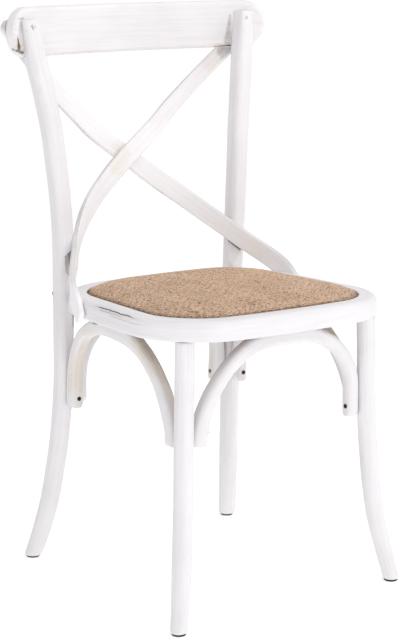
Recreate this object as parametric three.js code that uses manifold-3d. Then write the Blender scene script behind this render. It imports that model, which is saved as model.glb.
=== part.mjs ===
// Cross-back chair: bentwood frame painted white, woven cane seat.
// Units mm, +Z up, +X to the sitter's left as seen from the front (right in a front view), +Y to the back.
import * as THREE from 'three';
import Module from 'manifold-3d';

// ---------------------------------------------------------------- driving dimensions
const GAP = 0.3;                 // clearance between neighbouring pieces
const GLIDE_R = 10.5, GLIDE_H = 3.2;
const SEAT_BOTTOM = 422.6;       // underside of the seat ring
const SEAT_TOP = 453.5;          // top of the seat ring
const RING_W = 36;               // seat ring width in plan
const PANEL_DOME = 18.5;          // rise of the woven panel above its rim
const RAIL_R = 560;              // plan radius of the crest rail
const RAIL_Y = 254;              // crest rail's mid plane at the chair's middle
const RAIL_T = 20, RAIL_H = 76.5, RAIL_Z = 849.5, RAIL_HALF = 242;
const RAIL_TILT = 0.016;         // the crest rail sits higher on its right end
const STRIP_W = 31, STRIP_W_TOP = 26, STRIP_T = 9, LEAN = 0.30;
const CROSS_OFF = STRIP_T / 2 + 0.65; // each strip's distance from the crossing's middle
const ARCH_D = 22, ARCH_T_SHOULDER = 21.5, ARCH_T_TOP = 29, ARCH_T_SIDE = [26, 26], ARCH_T_FRONT = [26, 22], ARCH_T_BACK = [27, 27]; // thickness at the shoulders, crown and ends

// seat ring plan: rounded trapezoid with a bowed front and back
const PLAN = { wf: 220.6, yf: -189.3, wr: 197.9, yr: 181.9, rf: 98.7, rr: 113.2, bowF: 18.4, bowR: 10.2 };

// centre lines of the legs: [z, x, y, half width x, half depth y]
const FRONT_LEG = [
  [3.5, 202.6, -189.4, 12.6, 12.6], [20, 199.4, -186.8, 13.0, 13.0], [50, 193.6, -181.0, 13.7, 13.7], [100, 184.6, -171.6, 14.3, 14.3],
  [150, 179.2, -166.0, 14.5, 14.5], [200, 175.6, -162.2, 14.6, 14.6], [260, 172.6, -159.3, 14.6, 14.6], [330, 171.0, -158.6, 14.5, 14.5],
  [400, 169.4, -157.9, 14.3, 14.3], [SEAT_BOTTOM - GAP, 169.0, -157.7, 14.2, 14.2],
];
const REAR_POST = [
  [3.5, 196.4, 237.2, 13.8, 14.6], [20, 192.9, 231.3, 14.2, 15.0], [50, 187.1, 222.3, 14.4, 15.6], [100, 179.2, 210.2, 14.6, 16.0],
  [150, 173.7, 201.8, 14.6, 16.4], [200, 169.3, 194.4, 14.6, 16.4], [250, 166.7, 188.8, 14.5, 16.3], [300, 165.5, 185.2, 14.5, 16.0],
  [350, 165.0, 183.0, 14.4, 15.4], [400, 165.0, 181.8, 14.4, 14.8], [450, 165.2, 180.4, 14.4, 14.5], [500, 165.9, 178.6, 14.5, 14.5],
  [550, 167.7, 177.6, 14.6, 14.5], [600, 170.7, 178.6, 14.7, 14.6], [650, 174.8, 181.3, 14.8, 14.7], [700, 180.0, 185.0, 15.0, 14.8],
  [750, 187.0, 190.2, 15.2, 15.0], [800, 194.4, 196.6, 15.2, 15.4], [840, 199.2, 201.4, 14.4, 16.0], [880, 203.2, 205.8, 13.4, 16.0],
];
const POST_TOP = { left: 865, right: 874 }; // the two posts end at different heights
const leftLean = (side, z) => (side < 0 ? 7.5 * (Math.max(0, z - 700) / 165) ** 2 : 0); // the left post's top leans further out

// cross strips: half of the X, from the lower end on the ring's side, over the crossing, to the crest's end (x > 0 half mirrored as needed)
const STRIP_LOW = [
  [210.0, 57.0, 423.0], [206.6, 69.0, 438.5], [201.2, 91.0, 459.5], [186.2, 118.0, 479.5], [166.0, 144.0, 499.5], [147.4, 168.5, 519.5],
  [126.2, 190.8, 539.5], [104.3, 208.8, 559.5], [81.4, 223.4, 579.5], [56.0, 236.0, 600], [29.5, 244.8, 621],
];
const STRIP_MID = [0, 249.8, 643.5];
const STRIP_HIGH = [
  [35.4, 254.6, 670], [61.7, 257.6, 690], [83.5, 258.2, 710], [106.0, 257.4, 730], [128.0, 255.2, 750], [148.7, 251.0, 770], [169.4, 245.0, 790],
  [190.1, 237.6, 810.5], [210.6, 230.2, 831], [229.5, 223.4, 850], [239.5, 220.0, 860.5],
];

// arch braces, centre lines
const SIDE_ARCH = [ // [y, z]
  [-130.6, 262], [-129.2, 285], [-119.2, 311.3], [-101.3, 342.1], [-76, 368.9], [-47.3, 388.7], [-13.6, 402], [25, 407.5], [58, 407.5], [85.7, 402.6], [107.3, 393.7], [125, 381.4],
  [140.7, 360.2], [151, 334.6], [155.9, 304.8], [156.6, 285], [156.8, 262],
];
const SIDE_ARCH_X = [170.5, 161.5]; // at the front and at the rear limb
const FRONT_ARCH = [ // [x, z]; its two shoulders are bent to different radii
  [-142.9, 262], [-139.3, 285], [-131.3, 311.5], [-117.8, 336.5], [-102.8, 356], [-83.6, 375.6], [-53, 396], [-20, 407], [14, 407.7], [60, 405], [89.3, 395.5], [117.3, 376.3], [135.5, 351.7],
  [143.8, 330], [145.4, 308], [145.6, 285], [145.4, 266.5],
];
const FRONT_ARCH_Y = -151.5;
const BACK_ARCH = [
  [-136.9, 262], [-137.1, 300], [-134.3, 324.4], [-125.6, 349], [-110.4, 370.6], [-87.2, 389.4], [-54.7, 402.5], [-20, 407.1],
  [20, 407.1], [54.7, 402.5], [87.2, 389.4], [110.4, 370.6], [125.6, 349], [134.3, 324.4], [137.1, 300], [136.9, 262],
];
const BACK_ARCH_Y = [188.5, 178.5]; // at the limb ends and at the crown
const SCREW_Z = 277.5;

// ---------------------------------------------------------------- helpers
const wasm = await Module(); wasm.setup();
const V = (x, y, z) => new THREE.Vector3(x, y, z);
const lerp = (a, b, t) => a + (b - a) * t;

function geometryFrom(positions, index) {
  const g = new THREE.BufferGeometry();
  let vol = 0;
  for (let i = 0; i < index.length; i += 3) {
    const a = positions[index[i]], b = positions[index[i + 1]], c = positions[index[i + 2]];
    vol += a.dot(b.clone().cross(c));
  }
  if (vol < 0) for (let i = 0; i < index.length; i += 3) { const t = index[i]; index[i] = index[i + 1]; index[i + 1] = t; }
  g.setAttribute('position', new THREE.BufferAttribute(new Float32Array(positions.flatMap(p => [p.x, p.y, p.z])), 3));
  g.setIndex(index);
  return g;
}
// closed solid from a row of equal rings of points; loop joins the last ring to the first
function skin(rings, loop = false) {
  const n = rings[0].length, pos = rings.flat(), idx = [];
  const last = loop ? rings.length : rings.length - 1;
  for (let i = 0; i < last; i++) for (let j = 0; j < n; j++) {
    const a = i * n + j, b = i * n + (j + 1) % n, c = ((i + 1) % rings.length) * n + j, d = ((i + 1) % rings.length) * n + (j + 1) % n;
    idx.push(a, b, c, b, d, c);
  }
  if (!loop) for (const [base, flip] of [[0, true], [(rings.length - 1) * n, false]]) {
    const mid = V(0, 0, 0); for (let j = 0; j < n; j++) mid.add(pos[base + j]); mid.multiplyScalar(1 / n);
    pos.push(mid); const m = pos.length - 1;
    for (let j = 0; j < n; j++) { const a = base + j, b = base + (j + 1) % n; flip ? idx.push(m, b, a) : idx.push(m, a, b); }
  }
  return geometryFrom(pos, idx);
}
const solid = g => {
  const p = g.getAttribute('position').array, t = g.index.array;
  return new wasm.Manifold(new wasm.Mesh({ numProp: 3, vertProperties: new Float32Array(p), triVerts: new Uint32Array(t) }));
};
// the one body that is left when a cut also frees a sliver
const whole = m => m.decompose().reduce((a, b) => (b.volume() > a.volume() ? b : a));
function geometryOf(m) {
  const k = m.getMesh(), g = new THREE.BufferGeometry();
  const v = new Float32Array((k.vertProperties.length / k.numProp) * 3);
  for (let i = 0; i < v.length / 3; i++) for (let c = 0; c < 3; c++) v[i * 3 + c] = k.vertProperties[i * k.numProp + c];
  g.setAttribute('position', new THREE.BufferAttribute(v, 3));
  g.setIndex(Array.from(k.triVerts));
  return g;
}
// rounded rectangle, half sizes a and b, corner radius r, k segments a corner
function roundRect(a, b, r, k) {
  const out = [];
  for (const [sx, sy, a0] of [[1, 1, 0], [-1, 1, 90], [-1, -1, 180], [1, -1, 270]])
    for (let i = 0; i <= k; i++) {
      const t = THREE.MathUtils.degToRad(a0 + 90 * i / k);
      out.push([sx * (a - r) + r * Math.cos(t), sy * (b - r) + r * Math.sin(t)]);
    }
  return out;
}
// smooth table in its first column
function tableAt(rows, z) {
  let i = 0; while (i < rows.length - 2 && z > rows[i + 1][0]) i++;
  const p0 = rows[Math.max(i - 1, 0)], p1 = rows[i], p2 = rows[i + 1], p3 = rows[Math.min(i + 2, rows.length - 1)];
  const h = p2[0] - p1[0], t = (z - p1[0]) / h, t2 = t * t, t3 = t2 * t;
  return p1.map((_, c) => {
    if (c === 0) return z;
    const m1 = p2[0] === p0[0] ? 0 : (p2[c] - p0[c]) / (p2[0] - p0[0]), m2 = p3[0] === p1[0] ? 0 : (p3[c] - p1[c]) / (p3[0] - p1[0]);
    return (2 * t3 - 3 * t2 + 1) * p1[c] + (t3 - 2 * t2 + t) * h * m1 + (-2 * t3 + 3 * t2) * p2[c] + (t3 - t2) * h * m2;
  });
}
// cylinder-like lathe along an axis: profile [[along, radius], ...] from first to last on the axis
function turned(origin, dir, profile, n) {
  const w = dir.clone().normalize(), ref = Math.abs(w.z) < 0.9 ? V(0, 0, 1) : V(1, 0, 0);
  const u = ref.clone().cross(w).normalize(), v = w.clone().cross(u);
  return skin(profile.map(([s, r]) => Array.from({ length: n }, (_, j) => {
    const t = 2 * Math.PI * j / n;
    return origin.clone().addScaledVector(w, s).addScaledVector(u, r * Math.cos(t)).addScaledVector(v, r * Math.sin(t));
  })));
}

// ---------------------------------------------------------------- legs and posts
const legRings = (rows, side, zs, n) => zs.map(z => {
  const [, x, y, rx, ry] = tableAt(rows, z);
  return Array.from({ length: n }, (_, j) => { const t = 2 * Math.PI * (j + 0.5) / n; return V(side * (x + rx * Math.cos(t)), y + ry * Math.sin(t), z); });
});
const postSection = (rx, ry, z) => roundRect(rx, ry, Math.min(rx, ry) * lerp(0.98, 0.58, Math.min(1, Math.max(0, (z - 300) / 140))), 2);
const postRings = (side, zs) => zs.map(z => {
  const [, x, y, rx, ry] = tableAt(REAR_POST, z);
  return postSection(rx, ry, z).map(([a, b]) => V(side * (x + leftLean(side, z) + a), y + b, z));
});
const Z_LEG = [GLIDE_H + GAP, 20, 45, 75, 110, 150, 200, 260, 330, SEAT_BOTTOM - GAP];
const Z_POST = [GLIDE_H + GAP, 20, 45, 75, 110, 150, 200, 255, 310, 365, 420, 470, 520, 570, 620, 670, 715, 755, 795, 830];

// ---------------------------------------------------------------- crest rail
const railCentre = x => RAIL_Y - (RAIL_R - Math.sqrt(RAIL_R * RAIL_R - x * x));
function railSolid(grow = 0) {
  const A = Math.asin(RAIL_HALF / RAIL_R), R = RAIL_H / 2, n = 20, L = A * RAIL_R;
  const rings = [];
  for (let i = 0; i <= n; i++) {
    const u = -Math.cos(Math.PI * i / n), s = u * (L + grow) * 0.9985;
    const d = Math.max(0, Math.abs(s) - (L - R)), h = Math.max(9, Math.sqrt(Math.max(0, (R + grow) ** 2 - d * d)));
    const t = RAIL_T / 2 + grow, th = s / RAIL_R;
    rings.push(roundRect(t, h, Math.min(6.5, h * 0.6), 2).map(([a, b]) => V((RAIL_R + a) * Math.sin(th), RAIL_Y - RAIL_R + (RAIL_R + a) * Math.cos(th), RAIL_Z + b + RAIL_TILT * (RAIL_R + a) * Math.sin(th))));
  }
  return solid(skin(rings));
}

// ---------------------------------------------------------------- cross strips
function stripPath(side, off) { // low end at x = side*+, high end at x = side*-
  const bump = x => Math.exp(-((x / 78) ** 4)) * off;
  const pts = [
    ...STRIP_LOW.map(([x, y, z]) => V(side * x, y + bump(x), z)), V(0, STRIP_MID[1] + off, STRIP_MID[2]),
    ...STRIP_HIGH.map(([x, y, z]) => V(-side * x, y + bump(x), z)),
  ];
  return new THREE.CatmullRomCurve3(pts, false, 'centripetal');
}
function stripFrame(curve, t) {
  const p = curve.getPointAt(t), T = curve.getTangentAt(t);
  const nrm = V(T.y, -T.x, 0).normalize(); if (nrm.y > 0) nrm.negate(); // faces the front
  nrm.z = LEAN * Math.exp(-(((p.z - STRIP_MID[2]) / 75) ** 2)); // the crossing leans back
  nrm.addScaledVector(T, -nrm.dot(T)).normalize();
  const w = T.clone().cross(nrm).normalize();
  return { p, T, nrm, w };
}
function stripSolid(side, off, grow = 0, n = 32) {
  const curve = stripPath(side, off), len = curve.getLength(), rings = [];
  for (let i = 0; i <= n; i++) {
    const t = i / n; const { p, T, nrm, w } = stripFrame(curve, t);
    p.addScaledVector(T, i === 0 ? -grow : i === n ? grow : 0);
    const d = Math.min(t, 1 - t) * len, hw = lerp(STRIP_W, STRIP_W_TOP, THREE.MathUtils.smoothstep(t, 0.5, 0.85)) / 2, q = t < 0.5 ? 6 : 12, c = t < 0.5 ? 0.6 : 0.86;
    const h = d < q ? hw * Math.sqrt(1 - ((q - d) / q) ** 2 * c) : hw;
    rings.push(roundRect(STRIP_T / 2 + grow, h + grow, 2.4, 2).map(([a, b]) => p.clone().addScaledVector(nrm, a).addScaledVector(w, b)));
  }
  return solid(skin(rings));
}

// ---------------------------------------------------------------- seat ring and panel
function planOutline(off, n) { // off = distance in from the outside
  const P = [[PLAN.wf, PLAN.yf], [PLAN.wr, PLAN.yr], [-PLAN.wr, PLAN.yr], [-PLAN.wf, PLAN.yf]].map(p => new THREE.Vector2(...p));
  const R = [PLAN.rf, PLAN.rr, PLAN.rr, PLAN.rf], raw = [];
  for (let i = 0; i < 4; i++) {
    const p1 = P[i], d0 = P[(i + 3) % 4].clone().sub(p1).normalize(), d2 = P[(i + 1) % 4].clone().sub(p1).normalize();
    const ang = Math.acos(d0.dot(d2)), t = R[i] / Math.tan(ang / 2);
    const a = p1.clone().addScaledVector(d0, t), b = p1.clone().addScaledVector(d2, t);
    const c = p1.clone().addScaledVector(d0.clone().add(d2).normalize(), R[i] / Math.sin(ang / 2));
    const a0 = Math.atan2(a.y - c.y, a.x - c.x); let da = Math.atan2(b.y - c.y, b.x - c.x) - a0;
    da = ((da + Math.PI) % (2 * Math.PI) + 2 * Math.PI) % (2 * Math.PI) - Math.PI;
    for (let k = 0; k <= 24; k++) raw.push(new THREE.Vector2(c.x + (R[i] - off) * Math.cos(a0 + da * k / 24), c.y + (R[i] - off) * Math.sin(a0 + da * k / 24)));
  }
  const len = [0]; for (let i = 0; i < raw.length; i++) len.push(len[i] + raw[i].distanceTo(raw[(i + 1) % raw.length]));
  const out = [];
  for (let k = 0; k < n; k++) {
    const s = len[raw.length] * k / n; let i = 0; while (len[i + 1] < s) i++;
    const t = (s - len[i]) / Math.max(1e-9, len[i + 1] - len[i]), a = raw[i], b = raw[(i + 1) % raw.length];
    const x = lerp(a.x, b.x, t); let y = lerp(a.y, b.y, t);
    y -= PLAN.bowF * Math.max(0, 1 - (x / PLAN.wf) ** 2) * Math.min(1, Math.max(0, y / PLAN.yf)) ** 2;
    y += PLAN.bowR * Math.max(0, 1 - (x / PLAN.wr) ** 2) * Math.min(1, Math.max(0, y / PLAN.yr)) ** 2;
    out.push(new THREE.Vector2(x, y));
  }
  return out;
}
const N_RING = 52;
const OUT = planOutline(0, N_RING);
const NORMAL = OUT.map((p, i) => { const a = OUT[(i + N_RING - 1) % N_RING], b = OUT[(i + 1) % N_RING]; return new THREE.Vector2(b.y - a.y, a.x - b.x).normalize(); });
const inward = NORMAL[0].dot(OUT[0]) > 0 ? -1 : 1;
const ringPoint = (i, off, z) => V(OUT[i].x + NORMAL[i].x * inward * off, OUT[i].y + NORMAL[i].y * inward * off, z);
// section of the ring as [in from the outside, height]; the inner top is rebated for the panel
const REBATE = 8, REBATE_Z = SEAT_TOP - 6.2;
const RING_SECTION = [
  [4.0, SEAT_BOTTOM], [RING_W - 2.5, SEAT_BOTTOM], [RING_W, SEAT_BOTTOM + 2.5], [RING_W, REBATE_Z], [RING_W - REBATE, REBATE_Z], [RING_W - REBATE, SEAT_TOP - 0.6],
  [RING_W - REBATE - 1.2, SEAT_TOP], [9.0, SEAT_TOP - 0.4], [4.4, SEAT_TOP - 2.4], [1.3, SEAT_TOP - 6.2], [0, SEAT_TOP - 11.5], [0, SEAT_BOTTOM + 7], [1.2, SEAT_BOTTOM + 2.4],
];
const ringSolid = () => solid(skin(OUT.map((_, i) => RING_SECTION.map(([o, z]) => ringPoint(i, o, z))), true));
function panelSolid() {
  const IN = RING_W - REBATE + GAP, base = REBATE_Z + GAP, rim = SEAT_TOP - 0.4, c = new THREE.Vector2(0, -4);
  const at = (i, f, z) => { const e = ringPoint(i, IN, z); return V(lerp(c.x, e.x, f), lerp(c.y, e.y, f), z); };
  const topZ = f => rim + PANEL_DOME * (1 - f ** 5), botZ = f => base + PANEL_DOME * 0.94 * (1 - f ** 5);
  const F = [0.4, 0.65, 0.82, 0.92, 1], pos = [], idx = [];
  const rows = [...F.slice().reverse().map(f => [f, botZ(f)]).reverse().map(a => a), ...F.slice().reverse().map(f => [f, topZ(f)])];
  for (const [f, z] of rows) for (let i = 0; i < N_RING; i++) pos.push(at(i, f, z));
  for (let k = 0; k < rows.length - 1; k++) for (let i = 0; i < N_RING; i++) {
    const a = k * N_RING + i, b = k * N_RING + (i + 1) % N_RING, d = (k + 1) * N_RING + i, e = (k + 1) * N_RING + (i + 1) % N_RING;
    idx.push(a, b, d, b, e, d);
  }
  pos.push(V(c.x, c.y, botZ(0)), V(c.x, c.y, topZ(0)));
  const lo = pos.length - 2, hi = pos.length - 1, top = (rows.length - 1) * N_RING;
  for (let i = 0; i < N_RING; i++) { idx.push(lo, (i + 1) % N_RING, i); idx.push(hi, top + i, top + (i + 1) % N_RING); }
  return solid(geometryFrom(pos, idx));
}

// ---------------------------------------------------------------- arch braces
function archSolid(points, depthDir, ends, n = 26) {
  const curve = new THREE.CatmullRomCurve3(points, false, 'centripetal'), len = curve.getLength(), rings = [];
  for (let i = 0; i <= n; i++) {
    const t = i / n, p = curve.getPointAt(t), T = curve.getTangentAt(t);
    const D = depthDir.clone().addScaledVector(T, -depthDir.dot(T)).normalize(), N = T.clone().cross(D).normalize();
    const d = Math.min(t, 1 - t) * len, c = Math.cos(2 * Math.PI * t);
    const e = d < 9 ? Math.sqrt(Math.max(0.3, 1 - ((9 - d) / 9) ** 2 * 0.7)) : 1;
    const a = lerp(ARCH_T_SHOULDER, c < 0 ? ARCH_T_TOP : ends[t < 0.5 ? 0 : 1], c * c) / 2, b = ARCH_D / 2 * e;
    rings.push(roundRect(a, b, Math.min(8.5, b * 0.8), 3).map(([u, v]) => p.clone().addScaledVector(N, u).addScaledVector(D, v)));
  }
  return solid(skin(rings));
}
const sideArchPts = side => SIDE_ARCH.map(([y, z]) => V(side * lerp(SIDE_ARCH_X[0], SIDE_ARCH_X[1], (y + 132.6) / 291.4), y, z));
const frontArchPts = FRONT_ARCH.map(([x, z]) => V(x, FRONT_ARCH_Y, z));
const backArchPts = BACK_ARCH.map(([x, z]) => V(x, lerp(BACK_ARCH_Y[0], BACK_ARCH_Y[1], (z - 262) / 147), z));

// ---------------------------------------------------------------- fasteners: a head with a shank
const screwShape = (o, d, headR, headH, shankR, len, n = 8, grow = 0) => solid(turned(o, d, grow
  ? [[-30, 1e-3 + headR + grow], [headH + grow, headR + grow], [headH + grow + 0.05, shankR + grow], [len + grow, shankR + grow]]
  : [[0, headR * 0.8], [0.5, headR], [headH, headR], [headH + 0.05, shankR], [len, shankR]], n));

// ---------------------------------------------------------------- assembly
const part = {};
const posts = { left: -1, right: 1 };
part.seat_ring = ringSolid();
part.woven_seat_panel = panelSolid();
part.crest_rail = railSolid();
part.cross_strip_front = stripSolid(-1, -CROSS_OFF);
part.cross_strip_back = stripSolid(1, CROSS_OFF);
part.arch_brace_front = archSolid(frontArchPts, V(0, -1, 0), ARCH_T_FRONT);
part.arch_brace_back = archSolid(backArchPts, V(0, 1, 0), ARCH_T_BACK);
for (const [name, s] of Object.entries(posts)) {
  part[`front_${name}_leg`] = solid(skin(legRings(FRONT_LEG, s, Z_LEG, 14)));
  part[`arch_brace_${name}`] = archSolid(sideArchPts(s), V(s, 0, 0), ARCH_T_SIDE);
  // post: in front of the rail, let in where a strip crosses it
  let post = solid(skin(postRings(s, [...Z_POST, POST_TOP[name]])));
  post = post.subtract(railSolid(GAP));
  const strip = stripSolid(s, s * CROSS_OFF, GAP);
  post = post.subtract(strip);
  part.seat_ring = whole(part.seat_ring.subtract(strip)); // shallow housing for the strip's foot
  // notch: floor behind the strip, its top following the strip, sloping out below it
  const along = V(0.866 * s, -0.5, 0), out = V(-0.5 * s, -0.866, 0), c = V(s * 165.9, 178.0, 0);
  const notch = k => [[9.6, 512.5 - 0.86 * k], [34, 512.5 - 0.86 * k], [34, 400], [9.6, 478]];
  post = post.subtract(solid(skin([-34, 34].map(k => notch(k).map(([q, z]) => c.clone().addScaledVector(along, k).addScaledVector(out, q).setZ(z))))));
  part[`rear_${name}_post`] = whole(post);
  for (const [row, table] of [['front', FRONT_LEG], ['rear', REAR_POST]]) {
    const [, x, y] = table[0];
    part[`${row}_${name}_glide`] = solid(turned(V(s * x, y, 0), V(0, 0, 1), [[0, GLIDE_R - 0.8], [0.8, GLIDE_R], [GLIDE_H, GLIDE_R]], 20));
  }
}
// fasteners: name, head seat, direction, head radius, head height, shank radius, length, pieces they pass through
const fasten = [];
for (const [name, s] of Object.entries(posts)) {
  const xf = lerp(SIDE_ARCH_X[0], SIDE_ARCH_X[1], 0), xr = SIDE_ARCH_X[1];
  fasten.push([`arch_screw_${name}_front`, V(s * xf, -115.5, SCREW_Z), V(0, -1, 0), 3.4, 1.6, 1.9, 37, [`arch_brace_${name}`, `front_${name}_leg`]]);
  fasten.push([`arch_screw_${name}_rear`, V(s * xr, 142.9, SCREW_Z), V(0, 1, 0), 3.4, 1.6, 1.9, 38, [`arch_brace_${name}`, `rear_${name}_post`]]);
  fasten.push([`arch_screw_front_${name}`, V(s < 0 ? -126.4 : 133.4, FRONT_ARCH_Y - 2, SCREW_Z + 5.5), V(s, 0, 0), 3.4, 1.6, 1.9, s < 0 ? 37 : 32, ['arch_brace_front', `front_${name}_leg`]]);
  fasten.push([`arch_screw_back_${name}`, V(s * 123.7, 187.3, SCREW_Z - 0.8), V(s, 0, 0), 3.4, 1.6, 1.9, 37, ['arch_brace_back', `rear_${name}_post`]]);
  fasten.push([`crest_screw_${name}`, s < 0 ? V(-205, 186.6, 855) : V(197.5, 187.4, 863), V(0, 1, 0), 3.4, 1.6, 1.7, 29, [`rear_${name}_post`, 'crest_rail']]);
  const strip = s < 0 ? 'cross_strip_front' : 'cross_strip_back', c = stripPath(s, s * CROSS_OFF);
  let best = 0; for (let t = 0; t < 0.5; t += 0.002) if (Math.abs(c.getPointAt(t).z - 518.5) < Math.abs(c.getPointAt(best).z - 518.5)) best = t;
  const f = stripFrame(c, best);
  fasten.push([`strip_screw_${name}`, f.p.clone().addScaledVector(f.nrm, STRIP_T / 2 - 1.2), f.nrm.clone().negate(), 3.2, 1.6, 1.7, 22, [strip, `rear_${name}_post`]]);
  const d = V(s * -0.76, -0.65, 0);
  fasten.push([`ring_bolt_${name}`, V(s * 165.2, 180.7, 441).addScaledVector(d, -16.8), d, 3.6, 1.8, 2.0, 44, [`rear_${name}_post`, 'seat_ring']]);
}
fasten.push(['cross_screw', V(0, STRIP_MID[1] - CROSS_OFF - STRIP_T / 2 + 1.0, STRIP_MID[2]), V(0, 1, 0), 3.0, 1.6, 1.5, 13.5, ['cross_strip_front', 'cross_strip_back']]);
for (const [name, o, d, hr, hh, sr, len, through] of fasten) {
  const cut = screwShape(o, d, hr, hh, sr, len, 8, GAP);
  for (const k of through) part[k] = whole(part[k].subtract(cut));
  part[name] = screwShape(o, d, hr, hh, sr, len, 8);
}

// ---------------------------------------------------------------- meshes
const paint = () => new THREE.MeshStandardMaterial({ color: 0xe9e7ea, roughness: 0.55, metalness: 0 });
const cane = () => new THREE.MeshStandardMaterial({ color: 0xb98e66, roughness: 0.75, metalness: 0 });
const steel = () => new THREE.MeshStandardMaterial({ color: 0x1b1a1c, roughness: 0.5, metalness: 0.6 });
const rubber = () => new THREE.MeshStandardMaterial({ color: 0x151515, roughness: 0.85, metalness: 0 });
const materialOf = n => n === 'woven_seat_panel' ? cane() : n.endsWith('_glide') ? rubber() : /arch_screw|ring_bolt/.test(n) ? steel() : paint();

const group = new THREE.Group();
group.name = 'cross_back_chair';
const box = new THREE.Box3();
const geos = Object.entries(part).map(([n, m]) => { const g = geometryOf(m); g.computeBoundingBox(); box.union(g.boundingBox); return [n, g]; });
const shift = V(-(box.min.x + box.max.x) / 2, -(box.min.y + box.max.y) / 2, -box.min.z);
for (const [n, g] of geos) {
  g.translate(shift.x, shift.y, shift.z);
  g.computeVertexNormals();
  const mesh = new THREE.Mesh(g, materialOf(n));
  mesh.name = n;
  group.add(mesh);
}
export default group;
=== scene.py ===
# Cross-back chair: brushed off-white bentwood frame with a woven cane seat.
# Lengths in the tables are millimetres, measured before the origin moved under the chair's middle.
import math
import bpy
import numpy as np
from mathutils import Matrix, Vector


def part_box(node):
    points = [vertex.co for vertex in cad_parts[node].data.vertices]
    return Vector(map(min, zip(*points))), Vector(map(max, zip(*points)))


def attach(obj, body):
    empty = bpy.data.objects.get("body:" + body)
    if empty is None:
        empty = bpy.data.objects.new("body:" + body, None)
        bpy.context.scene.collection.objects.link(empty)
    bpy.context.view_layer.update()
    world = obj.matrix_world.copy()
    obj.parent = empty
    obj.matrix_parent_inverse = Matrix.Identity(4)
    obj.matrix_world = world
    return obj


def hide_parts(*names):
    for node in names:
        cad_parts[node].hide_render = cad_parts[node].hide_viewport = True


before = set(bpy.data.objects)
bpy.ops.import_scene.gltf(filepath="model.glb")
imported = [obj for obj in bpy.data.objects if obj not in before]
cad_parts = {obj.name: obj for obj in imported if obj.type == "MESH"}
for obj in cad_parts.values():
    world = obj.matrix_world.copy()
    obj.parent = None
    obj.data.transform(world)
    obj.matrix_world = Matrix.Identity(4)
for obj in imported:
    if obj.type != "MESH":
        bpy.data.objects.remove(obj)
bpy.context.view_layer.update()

_lo, _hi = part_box("front_left_glide")
SHIFT = np.array([0.0, (_lo.y + _hi.y) / 2 + 0.1894, 0.0])
MM = 0.001

# ------------------------------------------------------------------ dimensions (mm)
GAP = 0.3
GLIDE_R, GLIDE_H = 10.5, 3.2
SEAT_BOTTOM, SEAT_TOP, RING_W = 422.6, 453.5, 36.0
REBATE, REBATE_Z = 8.0, 453.5 - 6.2
PANEL_DOME = 18.5
RAIL_R, RAIL_Y, RAIL_T, RAIL_H, RAIL_Z, RAIL_HALF = 560.0, 254.0, 20.0, 76.5, 849.5, 242.0
RAIL_TILT = 0.016
STRIP_W, STRIP_W_TOP, STRIP_T, LEAN = 31.0, 26.0, 9.0, 0.30
CROSS_OFF = STRIP_T / 2 + 0.65
ARCH_D, ARCH_T_SHOULDER, ARCH_T_TOP = 22.0, 21.5, 29.0
ARCH_T_SIDE, ARCH_T_FRONT, ARCH_T_BACK = (26.0, 26.0), (26.0, 22.0), (27.0, 27.0)
PLAN = dict(wf=220.6, yf=-189.3, wr=197.9, yr=181.9, rf=98.7, rr=113.2, bowF=18.4, bowR=10.2)
FRONT_LEG = np.array([
    [3.5, 202.6, -189.4, 12.6, 12.6], [20, 199.4, -186.8, 13.0, 13.0], [50, 193.6, -181.0, 13.7, 13.7], [100, 184.6, -171.6, 14.3, 14.3],
    [150, 179.2, -166.0, 14.5, 14.5], [200, 175.6, -162.2, 14.6, 14.6], [260, 172.6, -159.3, 14.6, 14.6], [330, 171.0, -158.6, 14.5, 14.5],
    [400, 169.4, -157.9, 14.3, 14.3], [SEAT_BOTTOM - GAP, 169.0, -157.7, 14.2, 14.2]])
REAR_POST = np.array([
    [3.5, 196.4, 237.2, 13.8, 14.6], [20, 192.9, 231.3, 14.2, 15.0], [50, 187.1, 222.3, 14.4, 15.6], [100, 179.2, 210.2, 14.6, 16.0],
    [150, 173.7, 201.8, 14.6, 16.4], [200, 169.3, 194.4, 14.6, 16.4], [250, 166.7, 188.8, 14.5, 16.3], [300, 165.5, 185.2, 14.5, 16.0],
    [350, 165.0, 183.0, 14.4, 15.4], [400, 165.0, 181.8, 14.4, 14.8], [450, 165.2, 180.4, 14.4, 14.5], [500, 165.9, 178.6, 14.5, 14.5],
    [550, 167.7, 177.6, 14.6, 14.5], [600, 170.7, 178.6, 14.7, 14.6], [650, 174.8, 181.3, 14.8, 14.7], [700, 180.0, 185.0, 15.0, 14.8],
    [750, 187.0, 190.2, 15.2, 15.0], [800, 194.4, 196.6, 15.2, 15.4], [840, 199.2, 201.4, 14.4, 16.0], [880, 203.2, 205.8, 13.4, 16.0]])
POST_TOP = {-1: 865.0, 1: 874.0}
STRIP_LOW = [
    [210.0, 57.0, 423.0], [206.6, 69.0, 438.5], [201.2, 91.0, 459.5], [186.2, 118.0, 479.5], [166.0, 144.0, 499.5], [147.4, 168.5, 519.5],
    [126.2, 190.8, 539.5], [104.3, 208.8, 559.5], [81.4, 223.4, 579.5], [56.0, 236.0, 600], [29.5, 244.8, 621]]
STRIP_MID = [0, 249.8, 643.5]
STRIP_HIGH = [
    [35.4, 254.6, 670], [61.7, 257.6, 690], [83.5, 258.2, 710], [106.0, 257.4, 730], [128.0, 255.2, 750], [148.7, 251.0, 770], [169.4, 245.0, 790],
    [190.1, 237.6, 810.5], [210.6, 230.2, 831], [229.5, 223.4, 850], [239.5, 220.0, 860.5]]
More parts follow.
